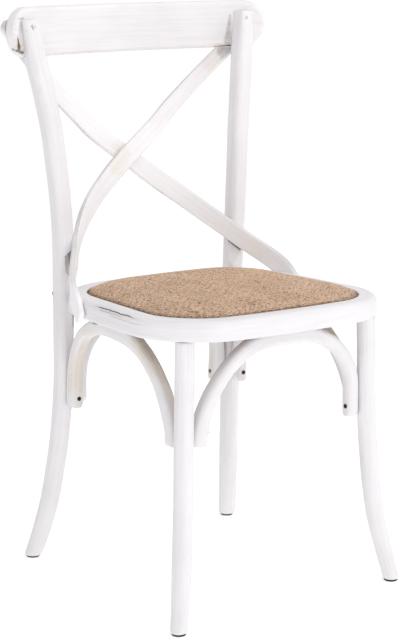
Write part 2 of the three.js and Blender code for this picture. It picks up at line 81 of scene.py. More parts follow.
SIDE_ARCH = [
    [-130.6, 262], [-129.2, 285], [-119.2, 311.3], [-101.3, 342.1], [-76, 368.9], [-47.3, 388.7], [-13.6, 402], [25, 407.5], [58, 407.5], [85.7, 402.6], [107.3, 393.7], [125, 381.4],
    [140.7, 360.2], [151, 334.6], [155.9, 304.8], [156.6, 285], [156.8, 262]]
SIDE_ARCH_X = [170.5, 161.5]
FRONT_ARCH = [
    [-142.9, 262], [-139.3, 285], [-131.3, 311.5], [-117.8, 336.5], [-102.8, 356], [-83.6, 375.6], [-53, 396], [-20, 407], [14, 407.7], [60, 405], [89.3, 395.5], [117.3, 376.3], [135.5, 351.7],
    [143.8, 330], [145.4, 308], [145.6, 285], [145.4, 266.5]]
FRONT_ARCH_Y = -151.5
BACK_ARCH = [
    [-136.9, 262], [-137.1, 300], [-134.3, 324.4], [-125.6, 349], [-110.4, 370.6], [-87.2, 389.4], [-54.7, 402.5], [-20, 407.1],
    [20, 407.1], [54.7, 402.5], [87.2, 389.4], [110.4, 370.6], [125.6, 349], [134.3, 324.4], [137.1, 300], [136.9, 262]]
BACK_ARCH_Y = [188.5, 178.5]
SCREW_Z = 277.5
SIDES = {"left": -1, "right": 1}

# rubbed patches where the paint has gone thin and warm, as tapered strokes: x, y, z, radius of both ends, strength
WEAR = [
    (162.8, 242.4, 789.3, 16, 174.8, 238.5, 803.0, 15, 0.50), (-13.3, 248.2, 652.2, 17, -26.0, 236.5, 626.0, 17, 0.45),
    (165.3, 137.8, 490.5, 15, 176.0, 128.0, 482.0, 13, 0.15), (-226.0, 194.8, 836.0, 4, -222.0, 197.5, 820.0, 6, 0.8),
    (-234.5, 193.5, 836.0, 3, -233.0, 194.5, 824.0, 5, 0.8), (158.0, 222.0, 818.6, 2.5, 183.0, 212.6, 820.5, 4, 0.75),
    # On the next line, the first stroke, on the left arch's top just under the seat ring, is partly rubbed paint and
    # partly painted shade.
    (-174.5, -42.0, 406.0, 13, -168.5, -90.0, 374.0, 17, 0.9), (174.3, -85.6, 378.3, 20, 178.0, -66.0, 390.0, 20, 1.0),
    (-156.1, 129.9, 357.7, 18, -156.0, 152.0, 300.0, 22, 0.75), (-200.0, 186.0, 863.0, 5, -212.0, 188.0, 863.0, 5, 0.30),
    (-165.0, 40.0, 398.0, 10, -168.0, 100.0, 392.0, 14, 0.50)]
# painted shade and shadow in gaps, under edges and where the rail and posts throw shadow on the rail and strips, with
# some dirt in joints and round the screws, as tapered strokes
DIRT_AND_SHADE = [
    (-231.8, 192.8, 841.0, 0.9, -227.6, 195.3, 823.5, 3.4, 1.0), (-234.0, 203.5, 821.6, 2.0, -228.1, 198.4, 818.9, 2.6, 1.0),
        (-228.1, 198.4, 818.9, 2.6, -219.5, 199.6, 815.8, 2.8, 1.0),
        (-241.0, 219.0, 862.0, 10, -233.0, 222.0, 850.0, 10, 0.35),
        (190.0, 236.0, 806.0, 8, 182.0, 240.0, 794.0, 4, 0.35),
    (-223.0, 196.6, 860.0, 4.5, -226.5, 194.9, 843.0, 4.0, 0.20), (-237.0, 190.2, 866.6, 1.2, -217.0, 199.5, 867.6, 1.3, 0.55),
    (-207.0, 186.4, 859.5, 0.8, -210.0, 186.6, 855.6, 1.4, 0.9), (-210.0, 186.6, 855.6, 1.4, -207.6, 186.2, 850.8, 0.9, 0.9),
    (-207.0, 231.5, 819.0, 10, -191.0, 237.6, 803.0, 7, 0.42), (157.0, 222.6, 815.2, 1.2, 184.0, 213.0, 816.4, 2.6, 1.0),
    (182.2, 212.9, 866.0, 1.6, 178.4, 214.2, 824.0, 7.0, 0.46), (194.0, 231.0, 814.0, 12, 181.0, 236.2, 806.0, 8, 0.46),
    (-161.8, 168.6, 524.0, 1.8, -158.6, 170.6, 482.0, 2.6, 0.95), (153.0, 174.7, 498.0, 1.5, 169.0, 165.4, 484.0, 3.0, 0.95),
    (-155.2, 168.9, 412.0, 2.2, -155.2, 169.4, 390.0, 2.2, 0.9), (-176.5, 84.0, 411.5, 2.2, -173.5, 66.0, 412.5, 2.8, 0.85),
    (174.3, -85.6, 378.3, 15, 178.0, -68.0, 389.0, 14, 0.38), (-172.5, -60.0, 396.0, 9, -170.5, -76.0, 386.0, 10, 0.14)]


# ------------------------------------------------------------------ small maths
def lerp(a, b, t):
    return a + (b - a) * t


def smooth01(x):
    x = np.clip(x, 0.0, 1.0)
    return x * x * (3 - 2 * x)


def unit(v):
    v = np.asarray(v, float)
    return v / np.maximum(np.linalg.norm(v, axis=-1, keepdims=True), 1e-12)


def wobble(p, amp, wave, seed):
    """A smooth, repeatable unevenness of about +-amp with the given wavelength."""
    r = np.random.RandomState(seed)
    out = np.zeros(p.shape[:-1])
    for _ in range(7):
        k = r.normal(size=3)
        k *= 2 * math.pi / (wave * r.uniform(0.6, 1.6)) / np.linalg.norm(k)
        out = out + np.sin(p @ k + r.uniform(0, 6.28))
    return out * amp / 2.6


def table_at(rows, z):
    """Smooth table in its first column."""
    i = 0
    while i < len(rows) - 2 and z > rows[i + 1][0]:
        i += 1
    p0, p1, p2, p3 = rows[max(i - 1, 0)], rows[i], rows[i + 1], rows[min(i + 2, len(rows) - 1)]
    h = p2[0] - p1[0]
    t = (z - p1[0]) / h
    m1 = (p2 - p0) / (p2[0] - p0[0])
    m2 = (p3 - p1) / (p3[0] - p1[0])
    out = (2 * t**3 - 3 * t**2 + 1) * p1 + (t**3 - 2 * t**2 + t) * h * m1 + (-2 * t**3 + 3 * t**2) * p2 + (t**3 - t**2) * h * m2
    out[0] = z
    return out


class Path:
    """Centripetal curve through points, read by distance along it."""

    def __init__(self, pts, n=60):
        P = np.array(pts, float)
        P = np.vstack([2 * P[0] - P[1], P, 2 * P[-1] - P[-2]])
        out = []
        for i in range(1, len(P) - 2):
            p0, p1, p2, p3 = P[i - 1], P[i], P[i + 1], P[i + 2]
            d0, d1, d2 = (max(np.linalg.norm(b - a), 1e-9) ** 0.5 for a, b in ((p0, p1), (p1, p2), (p2, p3)))
            t1 = ((p1 - p0) / d0 - (p2 - p0) / (d0 + d1) + (p2 - p1) / d1) * d1
            t2 = ((p2 - p1) / d1 - (p3 - p1) / (d1 + d2) + (p3 - p2) / d2) * d1
            t = np.linspace(0, 1, n, endpoint=False)[:, None]
            out.append(p1 + t1 * t + (-3 * p1 + 3 * p2 - 2 * t1 - t2) * t**2 + (2 * p1 - 2 * p2 + t1 + t2) * t**3)
        out.append(P[-2][None])
        self.p = np.vstack(out)
        self.s = np.concatenate([[0], np.cumsum(np.linalg.norm(np.diff(self.p, axis=0), axis=1))])
        self.length = self.s[-1]
        self.tan = unit(np.gradient(self.p, self.s, axis=0))

    def at(self, s):
        p = np.stack([np.interp(s, self.s, self.p[:, c]) for c in range(3)], -1)
        t = unit(np.stack([np.interp(s, self.s, self.tan[:, c]) for c in range(3)], -1))
        return p, t


def round_rect(a, b, r, k, flat):
    """Rounded rectangle with half sizes a and b: points, and how much each is on a corner (0 to 1)."""
    pts, corner = [], []
    quad = [(1, 1, 0), (-1, 1, 90), (-1, -1, 180), (1, -1, 270)]
    for q, (sx, sy, a0) in enumerate(quad):
        arc = [(sx * (a - r) + r * math.cos(math.radians(a0 + 90 * i / k)), sy * (b - r) + r * math.sin(math.radians(a0 + 90 * i / k))) for i in range(k + 1)]
        pts += arc
        corner += [math.sin(math.pi * (i + 0.5) / (k + 1)) for i in range(k + 1)]
        nx, ny, na = quad[(q + 1) % 4]
        nxt = (nx * (a - r) + r * math.cos(math.radians(na)), ny * (b - r) + r * math.sin(math.radians(na)))
        m = flat[q % 2]
        for j in range(1, m):
            pts.append((lerp(arc[-1][0], nxt[0], j / m), lerp(arc[-1][1], nxt[1], j / m)))
            corner.append(0.0)
    return np.array(pts), np.array(corner)


def filleted(poly, step):
    """Closed polygon [(x, y, radius)] with its corners rounded and its sides cut into steps."""
    n = len(poly)
    pts, corner = [], []
    ends = []
    for i in range(n):
        p = np.array(poly[i][:2])
        r = poly[i][2]
        a, b = unit(np.array(poly[i - 1][:2]) - p), unit(np.array(poly[(i + 1) % n][:2]) - p)
        ang = math.acos(np.clip(a @ b, -1, 1))
        t = r / math.tan(ang / 2)
        c = p + unit(a + b) * r / math.sin(ang / 2)
        p0, p1 = p + a * t, p + b * t
        a0 = math.atan2(*(p0 - c)[::-1])
        da = (math.atan2(*(p1 - c)[::-1]) - a0 + math.pi) % (2 * math.pi) - math.pi
        k = max(3, int(abs(da) * r / 1.1))
        ends.append(([c + r * np.array([math.cos(a0 + da * j / k), math.sin(a0 + da * j / k)]) for j in range(k + 1)], r))
    for i in range(n):
        arc, r = ends[i]
        pts += arc
        corner += [math.sin(math.pi * (j + 0.5) / len(arc)) * (1.0 if r < 7 else 0.6) for j in range(len(arc))]
        nxt = ends[(i + 1) % n][0][0]
        m = max(1, int(np.linalg.norm(nxt - arc[-1]) / step))
        for j in range(1, m):
            pts.append(lerp(arc[-1], nxt, j / m))
            corner.append(0.0)
    return np.array(pts), np.array(corner)


# ------------------------------------------------------------------ meshes
def spots(P, table):
    out = np.zeros(len(P))
    for x0, y0, z0, r0, x1, y1, z1, r1, k in table:
        a, b = np.array([x0, y0, z0]), np.array([x1, y1, z1])
        t = np.clip((P - a) @ (b - a) / ((b - a) @ (b - a)), 0, 1)
        d = np.linalg.norm(P - a - t[:, None] * (b - a), axis=1) / lerp(r0, r1, t)
        out = np.maximum(out, k * smooth01((1.3 - d) / 0.8))
    return out


def mesh_object(name, P, faces, material, attrs=None, sharp=38.0):
    """P in mm; faces as a list of index lists; attrs {name: array} per point."""
    me = bpy.data.meshes.new(name)
    me.from_pydata((P * MM + SHIFT).tolist(), [], faces)
    me.update()
    vol = 0.0
    me.calc_loop_triangles()
    tri = np.zeros(len(me.loop_triangles) * 3, np.int32)
    me.loop_triangles.foreach_get("vertices", tri)
    tri = tri.reshape(-1, 3)
    vol = np.einsum("ij,ij->i", P[tri[:, 0]], np.cross(P[tri[:, 1]], P[tri[:, 2]])).sum()
    if vol < 0:
        me.flip_normals()
    for key, val in (attrs or {}).items():
        val = np.asarray(val, np.float32)
        if val.ndim == 2:
            me.attributes.new(key, "FLOAT_VECTOR", "POINT").data.foreach_set("vector", val.ravel())
        else:
            me.attributes.new(key, "FLOAT", "POINT").data.foreach_set("value", val)
    me.shade_smooth()
    me.set_sharp_from_angle(angle=math.radians(sharp))
    me.materials.append(material)
    ob = bpy.data.objects.new(name, me)
    bpy.context.scene.collection.objects.link(ob)
    return ob


def sweep(name, rings, flow, edge, material, loop=False, caps=(True, True), sharp=38.0, extra_dirt_and_shade=None, extra_wear=None):
    """Closed body from a row of equal rings: rings (n, m, 3) in mm, flow (n, m, 3) in mm, edge (n, m)."""
    n, m = rings.shape[:2]
    P, Fl, E = rings.reshape(-1, 3), flow.reshape(-1, 3), edge.reshape(-1)
    D = np.zeros(n * m) if extra_dirt_and_shade is None else extra_dirt_and_shade.reshape(-1)
    W = np.zeros(n * m) if extra_wear is None else extra_wear.reshape(-1)
    i, j = np.meshgrid(np.arange(n if loop else n - 1), np.arange(m), indexing="ij")
    a, b = i * m + j, i * m + (j + 1) % m
    c, d = ((i + 1) % n) * m + j, ((i + 1) % n) * m + (j + 1) % m
    faces = np.stack([a, b, d, c], -1).reshape(-1, 4).tolist()
    if not loop:
        for want, row, flip in ((caps[0], 0, True), (caps[1], n - 1, False)):
            if not want:
                continue
            mid, fmid = rings[row].mean(0), flow[row].mean(0)
            prev = row * m
            for f in (0.9, 0.6, 0.3):
                start = len(P)
                P = np.vstack([P, lerp(mid, rings[row], f)])
                Fl = np.vstack([Fl, lerp(fmid, flow[row], f)])
                E, D, W = np.append(E, edge[row] * max(0, f - 0.6)), np.append(D, D[row * m:row * m + m]), np.append(W, W[row * m:row * m + m])
                for k in range(m):
                    q = [prev + k, prev + (k + 1) % m, start + (k + 1) % m, start + k]
                    faces.append(q[::-1] if flip else q)
                prev = start
            P, Fl = np.vstack([P, mid]), np.vstack([Fl, fmid])
            E, D, W = np.append(E, 0), np.append(D, D[row * m]), np.append(W, W[row * m])
            for k in range(m):
                q = [prev + k, prev + (k + 1) % m, len(P) - 1]
                faces.append(q[::-1] if flip else q)
    # the dark mask sums the painted shade strokes with grime
    attrs = {"flow": Fl * MM, "edge": E, "wear": np.maximum(W, spots(P, WEAR)), "dirt_and_shade": np.maximum(D, spots(P, DIRT_AND_SHADE))}
    return mesh_object(name, P, faces, material, attrs, sharp)


def put(ob, slot, *nodes):
    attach(ob, "root")
    if nodes:
        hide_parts(*nodes)
    return ob


# ------------------------------------------------------------------ materials
class Tree:
    def __init__(self, name):
        self.m = bpy.data.materials.new(name)
        self.m.use_nodes = True
        self.t = self.m.node_tree
        self.bsdf = self.t.nodes["Principled BSDF"]

    def n(self, kind, out=0, props=None, **inputs):
        node = self.t.nodes.new(kind)
        for k, v in (props or {}).items():
            setattr(node, k, v)
        for k, v in inputs.items():
            sock = node.inputs[int(k[1:])] if k[0] == "i" and k[1:].isdigit() else node.inputs[k.replace("_", " ")]
            if isinstance(v, bpy.types.NodeSocket):
                self.t.links.new(v, sock)
            else:
                sock.default_value = v
        return node.outputs[out]

    def attr(self, name, vector=False):
        return self.n("ShaderNodeAttribute", out="Vector" if vector else "Fac", props={"attribute_name": name})

    def mul(self, vec, by):
        return self.n("ShaderNodeVectorMath", props={"operation": "MULTIPLY"}, i0=vec, i1=by)

    def add3(self, vec, by):
        return self.n("ShaderNodeVectorMath", props={"operation": "ADD"}, i0=vec, i1=by)

    def noise(self, vec, scale=1.0, detail=3.0, rough=0.55, distort=0.0):
        return self.n("ShaderNodeTexNoise", Vector=vec, Scale=scale, Detail=detail, Roughness=rough, Distortion=distort)

    def math(self, op, a, b=0.0, clamp=False):
        return self.n("ShaderNodeMath", props={"operation": op, "use_clamp": clamp}, i0=a, i1=b)

    def ramp(self, fac, lo, hi, a=0.0, b=1.0):
        return self.n("ShaderNodeMapRange", props={"clamp": True, "interpolation_type": "SMOOTHSTEP"}, i0=fac, i1=lo, i2=hi, i3=a, i4=b)

    def mix(self, fac, a, b):
        node = self.t.nodes.new("ShaderNodeMix")
        node.data_type = "RGBA"
        for sock, v in ((node.inputs[0], fac), (node.inputs[6], a), (node.inputs[7], b)):
            if isinstance(v, bpy.types.NodeSocket):
                self.t.links.new(v, sock)
            else:
                sock.default_value = v if isinstance(v, float) else (*v, 1.0)
        return node.outputs[2]

    def bump(self, height, strength, distance):
        return self.n("ShaderNodeBump", Height=height, Strength=strength, Distance=distance)

    def finish(self, color=None, rough=None, normal=None, **const):
        for sock, v in (("Base Color", color), ("Roughness", rough), ("Normal", normal)):
            if v is None:
                continue
            if isinstance(v, bpy.types.NodeSocket):
                self.t.links.new(v, self.bsdf.inputs[sock])
            else:
                self.bsdf.inputs[sock].default_value = v
        for k, v in const.items():
            self.bsdf.inputs[k.replace("_", " ")].default_value = v
        return self.m


def paint_material(name, white, shade, cream, chips=1.0, cracks=()):
    """Brushed paint: streaks along each piece, warm rubbed patches, small chips on edges, grime and painted shade in
    joints and gaps.
    """
    t = Tree(name)
    flow, edge, wear, dirt_and_shade = t.attr("flow", True), t.attr("edge"), t.attr("wear"), t.attr("dirt_and_shade")
    place = t.n("ShaderNodeTexCoord", out="Object")
    streak = t.noise(t.mul(flow, (9.0, 240.0, 240.0)), 1.0, 4.0, 0.6, 0.25)
    hair = t.noise(t.mul(flow, (34.0, 1250.0, 1250.0)), 1.0, 2.0, 0.5, 0.1)
    cloud = t.noise(place, 11.0, 3.0, 0.55)
    grit = t.noise(place, 420.0, 2.0, 0.6)
    fleck = t.noise(t.mul(flow, (70.0, 330.0, 330.0)), 1.0, 3.0, 0.6, 0.4)
    # colour
    tone = t.math("ADD", t.math("MULTIPLY", t.ramp(streak, 0.36, 0.72), 0.55), t.math("MULTIPLY", t.ramp(cloud, 0.35, 0.75), 0.45))
    tone = t.math("ADD", tone, t.math("MULTIPLY", t.ramp(hair, 0.55, 0.8), 0.35), True)
    color = t.mix(t.math("MULTIPLY", tone, 0.62), white, shade)
    thin = t.math("MULTIPLY", wear, t.ramp(t.math("ADD", t.math("MULTIPLY", streak, 0.6), t.math("MULTIPLY", cloud, 0.4)), 0.34, 0.62, 0.25, 1.0), True)
    edge_thin = t.math("MULTIPLY", edge, t.ramp(t.math("ADD", t.math("MULTIPLY", fleck, 0.7), t.math("MULTIPLY", cloud, 0.3)), 0.56, 0.70, 0.0, 0.5))
    color = t.mix(t.math("MAXIMUM", thin, edge_thin), color, cream)
    chip = t.math("MULTIPLY", t.math("MAXIMUM", t.math("MULTIPLY", edge, 0.55), wear), t.ramp(fleck, 0.665, 0.70, 0.0, 0.8 * chips))
    color = t.mix(chip, color, (0.30, 0.215, 0.14))
    # dark brown mix: painted shade in gaps, under edges and in cast shadows, and grime in joints
    soil_and_shade = t.math("MULTIPLY", dirt_and_shade, t.ramp(t.math("ADD", t.math("MULTIPLY", streak, 0.5), t.math("MULTIPLY", grit, 0.5)), 0.30, 0.60, 0.45, 1.0), True)
    color = t.mix(soil_and_shade, color, (0.060, 0.050, 0.042))
    split = None
    if cracks:
        axes = t.t.nodes.new("ShaderNodeSeparateXYZ")
        t.t.links.new(flow, axes.inputs[0])
        wander = t.math("MULTIPLY", t.math("SUBTRACT", t.noise(t.mul(flow, (55.0, 0.0, 0.0)), 1.0, 2.0), 0.5), 0.0030)
        for s0, s1, z0, z1, wide, deep in cracks:
            run = t.ramp(axes.outputs[0], s0, s1)
            lin = t.n("ShaderNodeMapRange", props={"clamp": True}, i0=axes.outputs[0], i1=s0, i2=s1, i3=z0, i4=z1)
            off = t.math("ABSOLUTE", t.math("SUBTRACT", axes.outputs[2], t.math("ADD", lin, wander)))
            ends = t.math("MULTIPLY", t.ramp(run, 0.0, 0.12), t.ramp(run, 1.0, 0.80))
            line = t.math("MULTIPLY", t.math("MULTIPLY", t.ramp(off, wide, wide * 0.35), ends), deep)
            split = line if split is None else t.math("MAXIMUM", split, line)
        color = t.mix(split, color, (0.085, 0.072, 0.066))
    # gloss and relief
    rough = t.math("ADD", t.ramp(streak, 0.25, 0.75, 0.40, 0.56), t.math("MULTIPLY", t.math("MAXIMUM", thin, soil_and_shade), 0.22))
    height = t.math("ADD", t.math("MULTIPLY", streak, 0.55), t.math("MULTIPLY", hair, 0.30))
    height = t.math("ADD", height, t.math("MULTIPLY", grit, 0.08))
    height = t.math("SUBTRACT", height, t.math("MULTIPLY", chip, 0.9))
    if split is not None:
        height = t.math("SUBTRACT", height, t.math("MULTIPLY", split, 1.6))
    return t.finish(color, rough, t.bump(height, 0.32, 0.0009), Specular_IOR_Level=0.42)


def cane_material(name, light, mid, dark):
    """Split cane: each strand has its own tone, with fibres along it, darker rubbed spots, and painted shade where
    strands pass under, on their undersides and at the rim.
    """
    t = Tree(name)
    flow, strand, low = t.attr("flow", True), t.attr("strand"), t.attr("low")
    place = t.n("ShaderNodeTexCoord", out="Object")
    fibre = t.noise(t.mul(flow, (60.0, 2600.0, 2600.0)), 1.0, 3.0, 0.6)
    patch = t.noise(place, 16.0, 3.0, 0.55)
    spot = t.noise(t.mul(flow, (170.0, 260.0, 260.0)), 1.0, 2.0, 0.6)
    tone = t.math("ADD", t.math("MULTIPLY", strand, 0.42), t.math("MULTIPLY", t.ramp(fibre, 0.3, 0.7), 0.30))
    tone = t.math("ADD", tone, t.math("MULTIPLY", t.ramp(patch, 0.3, 0.7), 0.28), True)
    color = t.mix(tone, light, mid)
    speck = t.noise(place, 330.0, 2.0, 0.65)
    color = t.mix(t.ramp(speck, 0.50, 0.36, 0.0, 0.55), color, (0.84, 0.64, 0.47))
    color = t.mix(t.ramp(spot, 0.57, 0.68, 0.0, 0.85), color, dark)
    color = t.mix(t.ramp(speck, 0.57, 0.68, 0.0, 0.80), color, dark)
    # painted shade: darker where a strand dips under another, on strand undersides and toward the rim
    color = t.mix(t.math("MULTIPLY", low, 0.80), color, dark)
    rough = t.ramp(fibre, 0.2, 0.8, 0.48, 0.72)
    return t.finish(color, rough, t.bump(fibre, 0.35, 0.0004), Specular_IOR_Level=0.35)


def backing_material(name):
    """Cloth backing under the cane: a fine plain weave in dark tan."""
    t = Tree(name)
    place = t.n("ShaderNodeTexCoord", out="Object")
    u = t.n("ShaderNodeTexWave", out="Fac", props={"wave_type": "BANDS", "bands_direction": "X"}, Vector=place, Scale=120.0, Distortion=0.6, Detail=2.0)
    v = t.n("ShaderNodeTexWave", out="Fac", props={"wave_type": "BANDS", "bands_direction": "Y"}, Vector=place, Scale=120.0, Distortion=0.6, Detail=2.0)
    cloud = t.noise(place, 22.0, 4.0, 0.6)
    weave = t.math("MULTIPLY", u, v)
    color = t.mix(t.ramp(weave, 0.1, 0.8), (0.11, 0.065, 0.036), (0.30, 0.195, 0.115))
    color = t.mix(t.ramp(cloud, 0.35, 0.7, 0.0, 0.5), color, (0.17, 0.105, 0.06))
    return t.finish(color, t.ramp(cloud, 0.2, 0.8, 0.7, 0.9), t.bump(weave, 0.5, 0.0008), Specular_IOR_Level=0.25)


def steel_material(name):
    """Blackened screw heads, worn a little brighter on the rim."""
    t = Tree(name)
    place, edge = t.n("ShaderNodeTexCoord", out="Object"), t.attr("edge")
    cloud, grit = t.noise(place, 260.0, 4.0, 0.6), t.noise(place, 1500.0, 2.0, 0.5)
    color = t.mix(t.ramp(cloud, 0.35, 0.7), (0.010, 0.009, 0.009), (0.034, 0.031, 0.030))
    color = t.mix(t.math("MULTIPLY", edge, t.ramp(grit, 0.5, 0.7, 0.0, 0.6)), color, (0.12, 0.11, 0.10))
    return t.finish(color, t.ramp(cloud, 0.3, 0.7, 0.38, 0.62), t.bump(grit, 0.2, 0.0002), Metallic=0.35)


def rubber_material(name):
    t = Tree(name)
    place = t.n("ShaderNodeTexCoord", out="Object")
    cloud, grit = t.noise(place, 90.0, 4.0, 0.6), t.noise(place, 1300.0, 2.0, 0.6)
    color = t.mix(t.ramp(cloud, 0.35, 0.7), (0.012, 0.012, 0.012), (0.035, 0.033, 0.031))
    return t.finish(color, t.ramp(grit, 0.3, 0.7, 0.72, 0.92), t.bump(grit, 0.3, 0.0003), Specular_IOR_Level=0.3)


PAINT_TONES = (0.805, 0.788, 0.802), (0.665, 0.650, 0.668), (0.700, 0.622, 0.515)
PAINT = paint_material("white_paint", *PAINT_TONES)
# a lighter copy of the white paint for the cross strips, partly whiter paint and partly standing in for light the
# strips lack
LIGHTENED_STRIP_PAINT = paint_material("white_paint_strips_lightened", (0.895, 0.880, 0.893), (0.750, 0.735, 0.752), (0.760, 0.690, 0.580))
SCREW_PAINT = paint_material("painted_screw", (0.780, 0.766, 0.778), (0.640, 0.628, 0.640), (0.640, 0.570, 0.460), 0.6)
CANE = cane_material("cane", (0.780, 0.540, 0.375), (0.480, 0.300, 0.190), (0.085, 0.045, 0.025))
BACKING = backing_material("cane_backing")
STEEL = steel_material("dark_steel")
RUBBER = rubber_material("glide")


# ------------------------------------------------------------------ legs and posts
def leg(name, s, seed):
    z = np.concatenate([[3.5, 4.1, 5.0, 6.2], np.arange(8, SEAT_BOTTOM - GAP, 3.0), [SEAT_BOTTOM - GAP]])
    th = 2 * math.pi * (np.arange(48) + 0.5) / 48
    rings, flow, edge = [], [], []
    for q in z:
        _, x, y, rx, ry = table_at(FRONT_LEG, q)
        k = 1.0 - 0.10 * (1 - smooth01(np.array((q - 3.5) / 2.6)))  # eased foot
        a, b = rx * k * np.cos(th), ry * k * np.sin(th)
        rings.append(np.stack([s * (x + a), y + b, np.full(48, q)], -1))
        flow.append(np.stack([np.full(48, q + 700 * seed), a, b], -1))
        edge.append(np.full(48, 0.8 * max(0.0, 1 - (q - 3.5) / 7)))
    rings, flow, edge = np.array(rings), np.array(flow), np.array(edge)
    ctr = rings.mean(1, keepdims=True)
    rings += unit(rings - ctr) * wobble(rings, 0.16, 60, seed)[..., None]
    # painted shade on the top of the leg, just under the seat ring
    shade_under_ring = 0.25 * smooth01((rings[..., 2] - (SEAT_BOTTOM - 5)) / 5)
    return sweep(name, rings, flow, edge, PAINT, extra_dirt_and_shade=shade_under_ring)


def left_lean(s, z):
    return 7.5 * (max(0.0, z - 700) / 165) ** 2 if s < 0 else 0.0


def post(name, s, seed):
    top = POST_TOP[s]
    z = np.unique(np.round(np.concatenate([
        [3.5, 4.1, 5.0, 6.2], np.arange(8, 396, 3.0), np.arange(396, 474, 1.6), np.arange(474, 545, 0.7),
        np.arange(546, 796, 3.0), np.arange(796, 822, 0.8), np.arange(822, top - 1, 1.5), [top - 0.9, top - 0.3, top]]), 3))
    along, out, c = np.array([0.866 * s, -0.5]), np.array([-0.5 * s, -0.866]), np.array([165.9 * s, 178.0])
    rings, flow, edge, notch_shade = [], [], [], []
    for q in z:
        _, x, y, rx, ry = table_at(REAR_POST, q)
        r = min(rx, ry) * lerp(0.98, 0.58, min(1, max(0, (q - 300) / 140)))
        pts, corner = round_rect(rx, ry, r, 12, (10, 10))
        k = 1.0 - 0.09 * (1 - smooth01(np.array((q - 3.5) / 2.6)))
        if q > top - 1.2:
            k *= 1.0 - 0.05 * (q - (top - 1.2)) / 1.2
        a, b = pts[:, 0] * k, pts[:, 1] * k
        px, py = s * (x + left_lean(s, q) + a), y + b
        # rail's front face and its rounded lower edge
        h = q - (RAIL_Z - RAIL_H / 2 - GAP + RAIL_TILT * px)
        f = 6.5
        back = RAIL_R - RAIL_T / 2 + (f - np.sqrt(np.maximum(0, f * f - (f - np.clip(h, 0, f)) ** 2)))
        py = np.where(h > 0, np.minimum(py, RAIL_Y - RAIL_R + np.sqrt(back**2 - px**2) - GAP), py)
        # notch behind the strip, with a slope running out below it
        if 398 < q < 542:
            floor = 9.4 if q >= 478 else 9.4 + 24.4 * (478 - q) / 78
            d = (px - c[0]) * out[0] + (py - c[1]) * out[1] - floor
            k = (px - c[0]) * along[0] + (py - c[1]) * along[1]
            d = np.where(q < 512.5 - 0.86 * k, np.maximum(d, 0), 0)
            cut = np.where((d > 0) & (q > 470), 1.0, 0.0)
            px, py = px - out[0] * d, py - out[1] * d
        else:
            cut = np.zeros(len(px))
        notch_shade.append(cut)
        rings.append(np.stack([px, py, np.full(len(px), q)], -1))
        flow.append(np.stack([np.full(len(px), q + 1100 * seed), a, b], -1))
        e = corner * smooth01(np.array((q - 330) / 120)) * 0.8
        edge.append(np.maximum(e, 0.8 * max(0.0, 1 - (q - 3.5) / 7)))
    rings, flow, edge = np.array(rings), np.array(flow), np.array(edge)
    keep = 1 - smooth01((rings[..., 2] - 780) / 20)
    keep *= 1 - smooth01((rings[..., 2] - 390) / 10) * (1 - smooth01((rings[..., 2] - 545) / 10))
    rings += unit(rings - rings.mean(1, keepdims=True)) * (wobble(rings, 0.16, 70, seed) * keep)[..., None]
    # the left post's notch floor is darkened as painted shade
    return sweep(name, rings, flow, edge, PAINT, sharp=30.0, extra_dirt_and_shade=np.array(notch_shade) * (0.42 if s < 0 else 0.0))


# ------------------------------------------------------------------ crest rail
def rail(name):
    A, R, t, f = math.asin(RAIL_HALF / RAIL_R), RAIL_H / 2, RAIL_T / 2, 6.5
    L = A * RAIL_R
    turn = np.radians(np.concatenate([np.arange(0, 84, 2.5), [84, 86, 87.5, 88.6, 89.3]]))
    end = L - R + R * np.sin(turn)
    S = np.concatenate([-end[::-1], np.arange(-(L - R) + 2.2, L - R - 1, 2.2), end])
    rings, flow, edge = [], [], []
    for s in S:
        d = max(0.0, abs(s) - (L - R))
        phi0 = math.asin(max(0.0, 1 - (R - d) / f)) if R - d < f else 0.0
        phi = np.linspace(phi0, math.pi / 2, 7)
        arc_a, arc_d = t - f + f * np.cos(phi), f - f * np.sin(phi)
        arc_b = np.sqrt(np.maximum(0, (R - arc_d) ** 2 - d * d))
        a0, b0 = arc_a[0], arc_b[0]
        face = np.linspace(-1, 1, 37)[1:-1]
        aa = np.concatenate([np.full(35, a0), arc_a, [0.0], -arc_a[::-1], np.full(35, -a0), -arc_a, [0.0], arc_a[::-1]])
        topb = math.sqrt(max(0, R * R - d * d))
        bb = np.concatenate([face * b0, arc_b, [topb], arc_b[::-1], -face * b0, -arc_b, [-topb], -arc_b[::-1]])
        cor = np.sin(np.linspace(0.25, math.pi - 0.25, 7))
        ee = np.concatenate([np.zeros(35), cor, [0.0], cor, np.zeros(35), cor, [0.0], cor])
        th = s / RAIL_R
        rings.append(np.stack([(RAIL_R + aa) * math.sin(th), RAIL_Y - RAIL_R + (RAIL_R + aa) * math.cos(th),
                               RAIL_Z + bb + RAIL_TILT * (RAIL_R + aa) * math.sin(th)], -1))
        flow.append(np.stack([np.full(len(aa), s), aa, bb], -1))
        edge.append(np.maximum(ee * 0.9, 0.4 * (d > R - 4)))
    rings, flow, edge = np.array(rings), np.array(flow), np.array(edge)
    return sweep(name, rings, flow, edge, PAINT, sharp=40.0)


# ------------------------------------------------------------------ cross strips
def strip_path(side, off):
    def bump(x):
        return math.exp(-((x / 78) ** 4)) * off
    return Path([[side * x, y + bump(x), z] for x, y, z in STRIP_LOW] + [[0, STRIP_MID[1] + off, STRIP_MID[2]]]
                + [[-side * x, y + bump(x), z] for x, y, z in STRIP_HIGH])


def strip_frame(path, s):
    p, T = path.at(s)
    nrm = unit(np.stack([T[..., 1], -T[..., 0], np.zeros_like(T[..., 0])], -1))
    nrm = np.where(nrm[..., 1:2] > 0, -nrm, nrm)
    nrm[..., 2] = LEAN * np.exp(-(((p[..., 2] - STRIP_MID[2]) / 75) ** 2))
    nrm = unit(nrm - T * np.sum(nrm * T, -1, keepdims=True))
    return p, T, nrm, np.cross(T, nrm)


def strip_half(t):
    return lerp(STRIP_W, STRIP_W_TOP, smooth01((np.asarray(t, float) - 0.5) / 0.35)) / 2


